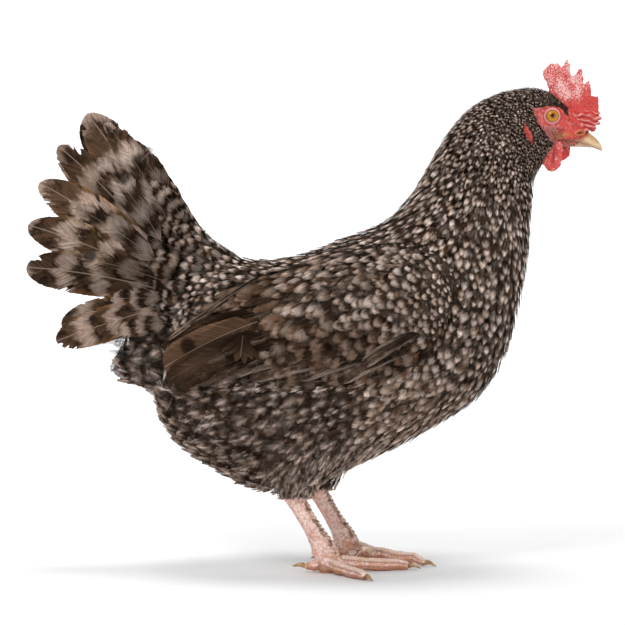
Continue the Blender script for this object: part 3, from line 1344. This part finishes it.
def tail_points(plan, number, side, sign):
    """A plan's points on a tail feather, on the slope of its half of the tail."""
    angle, length, width = TAIL_FAN[number - 1]
    if side == "left":
        angle, length = angle + 2, length * 0.985
    bow = 7 * math.cos(math.radians(angle - TAIL_LEAN))
    flat, _ = in_side_view(plan, TAIL_ROOT, way(angle), length, width, bow)
    below = (flat - TAIL_ROOT) @ TAIL_DOWN + TAIL_RIDGE
    y = TAIL_TENT * below + TAIL_LAYER * (number - 1) + 0.45
    y = y + 0.35 * (1 - plan.across**2) + plan.relief * width / 2
    return np.stack((flat[:, 0], sign * y, flat[:, 1]), -1)


def make_tail(material):
    for side, sign in SIDES:
        tree = node_tree("tail_coverts", *(f"tail_feather_{side}_{number}" for number in range(1, 8)))
        for number in range(1, 8):
            seed, draw = seeded(300, number, side)
            plan = vane(barbs=72, segments=5, seed=seed, ratio=0.12, slant=0.13, base=0.45, rise=0.9, tip=0.70,
                        fray=0.03, relief=0.012, splits=4, split_depth=0.025, shaft=0.012, first=0.12, part=0.08,
                        clefts=3, lap=0.5)
            looks = ((draw.uniform(3.2, 4.6), draw.random(), 0.74), (0.95, draw.uniform(0.3, 0.8), draw.random()),
                     (0.25, 0.44, 0.7), (0.74, 0.0, 0.0))
            long_feather(f"tail_{side}_{number}", plan, tail_points(plan, number, side, sign), material, looks,
                         f"tail_feather_{side}_{number}")
        for number, (*ends, width, out, bars, pale, plain, spot) in enumerate(TAIL_COVERTS, 1):
            seed, draw = seeded(350, number, side)
            plan = vane(barbs=36, segments=4, seed=seed, ratio=0.2, slant=0.22, base=0.5, rise=0.9, tip=0.55,
                        fray=0.10, relief=0.014, splits=2, split_depth=0.03, shaft=0.010, first=0.03, part=0.15,
                        clefts=3, lap=0.5)
            looks = ((bars, draw.random(), 0.85), (pale, draw.uniform(0.2, 0.7), draw.random()), (0.2, plain, 0.35),
                     (0.5, spot, 0.75))
            long_feather(f"covert_{side}_{number}", plan, over(tree, sign, plan, ends, width, out, 0.03, TAIL_TENT),
                         material, looks)


def over(tree, sign, plan, ends, width, out, bow, tent):
    """A plan's points on a feather that lies over these solids, from one end to the other: x, z, x, z."""
    start, end = np.array(ends, float).reshape(2, 2)
    length = np.linalg.norm(end - start)
    flat, middle = in_side_view(plan, start, (end - start) / length, length, width, bow * length)
    y = np.interp(plan.along, *outer_face(tree, sign, start, end)) + out
    y = y + 0.03 * width * (1 - plan.across**2) + plan.relief * width / 2 + tent * ((flat - middle) @ TAIL_DOWN)
    return np.stack((flat[:, 0], sign * y, flat[:, 1]), -1)


def make_flight(material):
    for side, sign in SIDES:
        tree = node_tree(f"wing_{side}", f"flight_feathers_{side}")
        for number, (*ends, width, sunk, edged) in enumerate(FLIGHT, 1):
            seed, draw = seeded(400, number, side)
            plan = vane(barbs=60, segments=4, seed=seed, ratio=0.12, slant=0.14, base=0.6, rise=0.8, tip=0.82,
                        fray=0.01, relief=0.010, splits=2, split_depth=0.02, shaft=0.022, first=0.05, part=0.03,
                        lap=0.4)
            widest = number == 2
            looks = ((0.0, 0.5, 0.75 * edged), (0.95, 0.5, draw.random()), (0.5, 0.46, 0.7 if widest else 0.15),
                     (0.68 - 0.30 * edged, 0.70, 0.8 * widest))
            long_feather(f"flight_{side}_{number}", plan, over(tree, sign, plan, ends, width, -sunk, 0.03, 0.0),
                         material, looks, f"flight_feathers_{side}" if widest else None)
        plan = torn()
        points = over(tree, sign, plan, (TORN_APEX, TORN_APEX + TORN_LENGTH * way(264)), 36, 0.5, 0.0, 0.0)
        long_feather(f"torn_{side}", plan, points, material,
                     ((0.0, 0.5, 0.0), (0.7, 0.6, 0.02), (0.5, 0.50, 0.2), (0.6, 0.0, 0.0)))


def torn():
    """A worn feather's end: stiff slivers that part from one point."""
    draw = np.random.default_rng(470)
    t = np.linspace(0, 1, 6)
    across, along, relief, faces = [], [], [], []
    slivers = 6
    for k in range(slivers):
        lean = -1 + 2 * (k + 0.5) / slivers + draw.uniform(-0.05, 0.05)
        reach = draw.uniform(0.75, 1.0) * (1 - 0.2 * abs(lean))
        half = draw.uniform(1.1, 1.6) / slivers
        middle = lean * t**1.3
        for edge in (-1, 1):
            across.append(middle + edge * half * np.minimum(1, 1.4 * t) * (1 - 0.8 * t**6))
            along.append(reach * t)
            relief.append(0.03 * k * t + 0.16 * (edge > 0) * t)
        faces.append(quads(12 * k + np.arange(12).reshape(2, 6)))
    return Plan(np.concatenate(across), np.concatenate(along), np.concatenate(relief), np.concatenate(faces))


def outer_face(tree, sign, start, end):
    """|y| of the outer face of these solids along a line, smoothed."""
    t = np.linspace(0, 1, 15)
    found = []
    for k in t:
        x, z = start + (end - start) * k
        hit = tree.ray_cast(Vector((x, sign * 300.0, z)), Vector((0, -sign, 0)))[0]
        if hit is None:
            hit = tree.find_nearest(Vector((x, sign * 75.0, z)))[0]
        found.append(abs(hit.y))
    found = np.array(found)
    for _ in range(6):
        found[1:-1] = (found[:-2] + 2 * found[1:-1] + found[2:]) / 4
    return t, found


# Eyes, horn and scutes

def eye_material():
    s = Shader("eye", Roughness=0.15, Specular_IOR_Level=0.2, Coat_Weight=0.5, Coat_Roughness=0.03)
    turn, away, _ = s.split(s.uv("iris"))
    fibres = s.noise(s.combine(turn * 60.0, away * 2.2, 0.0), 1.0)
    iris = s.mix(s.step(away, 0.16, 0.40), rgb(172, 98, 4), rgb(226, 158, 8))
    iris = s.mix(s.step(fibres, 0.3, 0.75, 0.0, 0.55), iris, rgb(112, 92, 20))
    color = s.mix(s.step(away, 0.135, 0.165), rgb(58, 8, 4), iris)
    return s.finish(s.mix(s.step(away, 0.43, 0.47), color, rgb(38, 16, 10)))


def make_eyes():
    material = eye_material()
    rings, around = 40, 64
    polar, turn = np.meshgrid(np.linspace(0, math.pi, rings), np.linspace(0, 2 * math.pi, around + 1), indexing="ij")
    faces = quads(np.arange(polar.size).reshape(polar.shape))
    iris = np.stack((turn / (2 * math.pi), np.sin(polar / 2) / math.sin(math.pi / 4) * 0.82), -1)
    for side, sign in SIDES:
        axis = unit(np.array((0.06, sign * 1.0, 0.04)))
        u = unit(np.cross(axis, (0, 0, 1)))
        v = np.cross(axis, u)
        outward = np.cos(turn)[..., None] * u + np.sin(turn)[..., None] * v
        places = np.cos(polar)[..., None] * axis + np.sin(polar)[..., None] * outward
        places = EYES[side] + (EYE_RADIUS - 0.1) * places
        mesh = new_mesh(f"eyeball_{side}", places.reshape(-1, 3), [faces[:, ::-1] if sign > 0 else faces])
        add_uv(mesh, "iris", iris.reshape(-1, 2))
        piece = new_object(f"eyeball_{side}", mesh, "eye", material)
        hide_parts(f"eye_{side}")


# Stations of the beak's halves: x, top, edge of the mouth or underside, half width.
UPPER_BEAK = ((205, 353.6, 352.0, 8.7), (210, 355.2, 351.0, 8.2), (215, 357.6, 349.9, 7.1),
              (219, 358.8, 348.7, 6.1), (223.7, 357.6, 347.4, 4.9), (228, 354.5, 345.8, 3.7),
              (231.5, 351.2, 344.4, 2.5), (233.8, 347.6, 343.3, 1.4), (234.9, 344.6, 342.7, 0.5))
LOWER_BEAK = ((200, 353.0, 346.4, 7.8), (206, 352.6, 346.0, 7.4), (211, 351.4, 345.9, 6.4), (216, 350.0, 345.9, 5.3),
              (221, 348.6, 345.7, 4.0), (224.5, 347.5, 345.3, 2.6), (226.6, 346.6, 345.4, 1.0))


def horn_loft(name, stations, upward, material, replaced):
    """A half of the beak: arched over and flat at the mouth, or the other way up."""
    stations = np.array(stations, float)
    x = stations[0, 0] + (stations[-1, 0] - stations[0, 0]) * np.linspace(0, 1, 34) ** 0.8
    high, low, half = (smooth_through(x, stations[:, 0], stations[:, k]) for k in (1, 2, 3))
    around = np.linspace(0, 2 * math.pi, 41)[:-1]
    c, s = np.cos(around), np.sin(around)
    arch = np.where(s > 0, np.abs(s) ** 0.85, -0.10 * np.abs(s))
    y = half[:, None] * np.sign(c) * np.abs(c) ** 0.9
    edge, crown = (low, high) if upward else (high, low)
    z = edge[:, None] + (crown - edge)[:, None] * arch
    rows = np.stack((np.broadcast_to(x[:, None], y.shape), y, z), -1)
    grid = np.arange(y.size).reshape(y.shape)
    grid = np.hstack((grid, grid[:, :1]))
    points = np.concatenate([rows.reshape(-1, 3), rows[-1].mean(0)[None] + (0.15, 0, 0), rows[0].mean(0)[None]])
    front, rear = (np.full(len(around), y.size + k) for k in (0, 1))
    caps = np.concatenate([np.stack((grid[-1, :-1], front, grid[-1, 1:]), -1),
                           np.stack((grid[0, :-1], grid[0, 1:], rear), -1)])
    turned = 1 if upward else -1
    mesh = new_mesh(name, points, [quads(grid)[:, ::turned], caps[:, ::turned]])
    slope = points[:, 0] - 215.7 - 1.25 * (points[:, 2] - 349.7) + 0.8 * wobble(points, 3.0, 44)
    height = np.append(np.broadcast_to(np.abs(arch), y.shape).ravel(), (1, 1))
    add_values(mesh, "cere", np.stack((smooth(1.0, -1.2, slope), bell(height, 0.16), 0 * slope), -1))
    piece = new_object(name, mesh, "horn", material)
    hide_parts(replaced)


def smooth_through(at, known, values):
    """A cubic curve through the stations, with no overshoot beyond their trend."""
    slope = np.gradient(values, known)
    k = np.clip(np.searchsorted(known, at) - 1, 0, len(known) - 2)
    span = known[k + 1] - known[k]
    t = (at - known[k]) / span
    return ((2 * t**3 - 3 * t**2 + 1) * values[k] + (t**3 - 2 * t**2 + t) * span * slope[k]
            + (3 * t**2 - 2 * t**3) * values[k + 1] + (t**3 - t**2) * span * slope[k + 1])


def make_beak():
    upper = horn_material("beak_horn", (206, 160, 110), (236, 206, 158), (170, 118, 80))
    lower = horn_material("beak_low_horn", (176, 132, 104), (214, 178, 142), (134, 96, 78))
    horn_loft("beak_top", UPPER_BEAK, True, upper, "beak_upper")
    horn_loft("beak_bottom", LOWER_BEAK, False, lower, "beak_lower")


def dress_claws():
    """The claws keep their solids, rounded and given the look of horn."""
    horn = horn_material("claw_horn", (150, 108, 66), (206, 172, 122), (98, 68, 44))
    for name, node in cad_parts.items():
        if name.startswith("claw"):
            node.data.materials.clear()
            node.data.materials.append(horn)
            for polygon in node.data.polygons:
                polygon.use_smooth = True
            node.modifiers.new("weld", "WELD").merge_threshold = 1e-5
            round_off = node.modifiers.new("round", "SUBSURF")
            round_off.levels = round_off.render_levels = 2


# Where the front of each shank and the toe roots are: x, |y|.
SHANK_FRONT = {"right": (0.5, 30.0), "left": (18.5, 35.0)}
TOE_ROOT = {"right": (9.5, 30.0), "left": (27.5, 35.0)}
# Toes: heading from straight ahead, length, root radius, tip radius.
TOES = {"right": ((176, 17, 5.4, 3.5), (-60, 32, 4.6, 3.4), (-13, 68, 5.8, 4.2), (57, 56, 4.9, 3.8)),
        "left": ((158, 22, 4.4, 3.2), (-73, 51, 4.6, 3.4), (-25, 69, 5.8, 4.0), (14, 54, 4.9, 3.4))}


def plate():
    """A scute: a low dome whose edges turn down into the skin, lowest at its root."""
    u, v = np.meshgrid(np.linspace(-1, 1, 9), np.linspace(0, 1, 6), indexing="ij")
    edge = np.clip(1 - np.abs(u) ** 6, 0, 1) * (0.25 + 0.75 * np.sin(np.clip(v * 1.12, 0, 1) * math.pi / 2))
    edge *= 1 - smooth(0.86, 1.0, v) * 0.9
    faces = quads(np.arange(u.size).reshape(u.shape).T)
    return Plan((u * (1 - 0.22 * smooth(0.6, 1.0, v))).ravel(), v.ravel(), (edge * 0.24 - 0.06).ravel(), faces)


SHANK_PITCH, TOE_PITCH = 3.3, 2.7


def scute_places(tree, side, sign):
    """Each scute's root, heading, length, width and lift, down the shank and along the toes."""
    x, y = SHANK_FRONT[side]
    for z in np.arange(57.5, 17.0, -SHANK_PITCH):
        hit = tree.ray_cast(Vector((x + 60, sign * y, z)), Vector((-1, 0, 0)))[0]
        if hit:
            yield np.array(hit), np.array((0.2, 0, -1.0)), 4.6, 10.5, 0.5
    x, y = TOE_ROOT[side]
    for number, (heading, length, thick, thin) in enumerate(TOES[side], 1):
        ray = np.array((*way(heading) * (1, sign), 0.0))
        for k in np.arange(6.0 if number > 1 else 8.0, length + 1, TOE_PITCH):
            at = np.array((x, sign * y, 45.0)) + ray * k
            hit = tree.ray_cast(Vector(at), Vector((0, 0, -1)))[0]
            if hit and hit.z < 26:
                yield np.array(hit), ray, TOE_PITCH * 1.5, (thick + (thin - thick) * k / length) * 1.9, 0.35


def make_scutes(ground):
    material = scute_material()
    shape = plate()
    for side, sign in SIDES:
        build = Build()
        draw = np.random.default_rng(77)
        roots = []
        for root, heading, length, width, lift in scute_places(ground.tree, side, sign):
            at, up = laid(ground, root, heading, length, width, lift, 0.0, 0.0, 0.0)
            build.add(shape, shape.on(at[None], up[None], np.array((width / 2,))), np.zeros((1, 2)),
                      np.zeros((1, 3)), np.array(((1.0, smooth(14, 30, root[2]), draw.random()),)))
            roots.append(root)
        x, y, z = np.array(roots).T
        places = squared(np.stack((x + 0.3 * z, sign * y + 0.7 * z), -1))
        build.bake = [np.repeat(places, len(shape.flat), axis=0) + 0.01 * np.tile(shape.flat - 0.5, (len(roots), 1))]
        build.piece(f"scutes_{side}", "leg_scales", material)


# Stage

# Floor and wall in metres: half width, front, where it starts to bend, the bend's radius, and height.
STAGE_WIDE, STAGE_FRONT, STAGE_FAR, STAGE_BEND, STAGE_HIGH = 3.2, -4.0, 2.9, 0.9, 3.4


def make_stage():
    turn = np.linspace(0.1, math.pi / 2, 14)
    profile = [(STAGE_FRONT, 0.0), (STAGE_FAR, 0.0)]
    profile += [(STAGE_FAR + STAGE_BEND * math.sin(a), STAGE_BEND * (1 - math.cos(a))) for a in turn]
    profile += [(STAGE_FAR + STAGE_BEND, STAGE_HIGH)]
    points = [(x, y, z) for y, z in profile for x in (-STAGE_WIDE, STAGE_WIDE)]
    floor = bpy.data.meshes.new("floor")
    floor.from_pydata(points, [], [(2 * k, 2 * k + 1, 2 * k + 3, 2 * k + 2) for k in range(len(profile) - 1)])
    for polygon in floor.polygons:
        polygon.use_smooth = True
    s = Shader("floor", Roughness=0.85, Specular_IOR_Level=0.15)
    floor.materials.append(s.finish(s.mix(s.noise(s.place(), 2.0, 2.0), (0.86, 0.865, 0.875), (0.90, 0.902, 0.905))))
    piece = in_scene("floor", floor)


def aimed(thing, place, direction):
    thing.location = place
    thing.rotation_mode = "QUATERNION"
    thing.rotation_quaternion = direction.to_track_quat("-Z", "Y")


# Name, place, what it points at, size across, power.
LIGHTS = (("key", (-1.2, -2.0, 2.3), (0, 0, 0.2), 0.9, 36), ("fill", (2.1, -1.4, 1.1), (0, 0, 0.2), 1.5, 6),
          ("top", (0.1, 0.2, 2.6), (0, 0, 0.2), 1.2, 30), ("low", (1.9, -2.7, 0.35), (0, 0, 0.12), 1.0, 16),
          ("behind_left", (-1.6, 1.5, 1.3), (0, 0, 0.25), 1.0, 12), ("wall", (0.0, 2.5, 2.4), (0, 3.8, 0.6), 2.0, 50))


SKY_STRENGTH = 0.42


def make_light():
    world = bpy.data.worlds.new("room")
    world.use_nodes = True
    sky = world.node_tree.nodes["Background"].inputs
    sky["Color"].default_value = (1.0, 1.0, 1.0, 1.0)
    sky["Strength"].default_value = SKY_STRENGTH
    bpy.context.scene.world = world
    for name, place, target, size, power in LIGHTS:
        data = bpy.data.lights.new(name, "AREA")
        data.shape, data.size, data.energy = "DISK", size, power
        aimed(in_scene(name, data), place, Vector(target) - Vector(place))
    bpy.context.scene.view_settings.view_transform = "Standard"
    bpy.context.scene.view_settings.look = "None"


# The camera's place and aim, and how much of the hen's plane the frame is wide.
CAMERA_AT = np.array((-2.0, -2500.0, 340.0))
LOOK_AT = np.array((-2.0, 0.0, 210.3))
VIEW_WIDTH = 512.5


def make_camera():
    data = bpy.data.cameras.new("camera")
    data.sensor_width = 36.0
    data.lens = data.sensor_width * np.linalg.norm(LOOK_AT - CAMERA_AT) / VIEW_WIDTH
    data.clip_start, data.clip_end = 0.1, 30
    camera = in_scene("camera", data)
    aimed(camera, row(CAMERA_AT), Vector(LOOK_AT - CAMERA_AT))
    bpy.context.scene.camera = camera


# The hen

plume = plume_material()
skin = make_skin()
carrier = make_carrier()
make_plumage(Ground(*carrier), *carrier[:2], plume)
make_tail(plume)
make_flight(plume)
make_eyes()
make_beak()
dress_claws()
skin_points, skin_triangles = points_of(skin.data), triangles_of(skin.data)
skin_normals = normals_of(skin_points, skin_triangles)
make_bristles(skin_points, skin_triangles, skin_normals, plume)
make_scutes(Ground(skin_points, skin_triangles, skin_normals))
make_stage()
make_light()
make_camera()
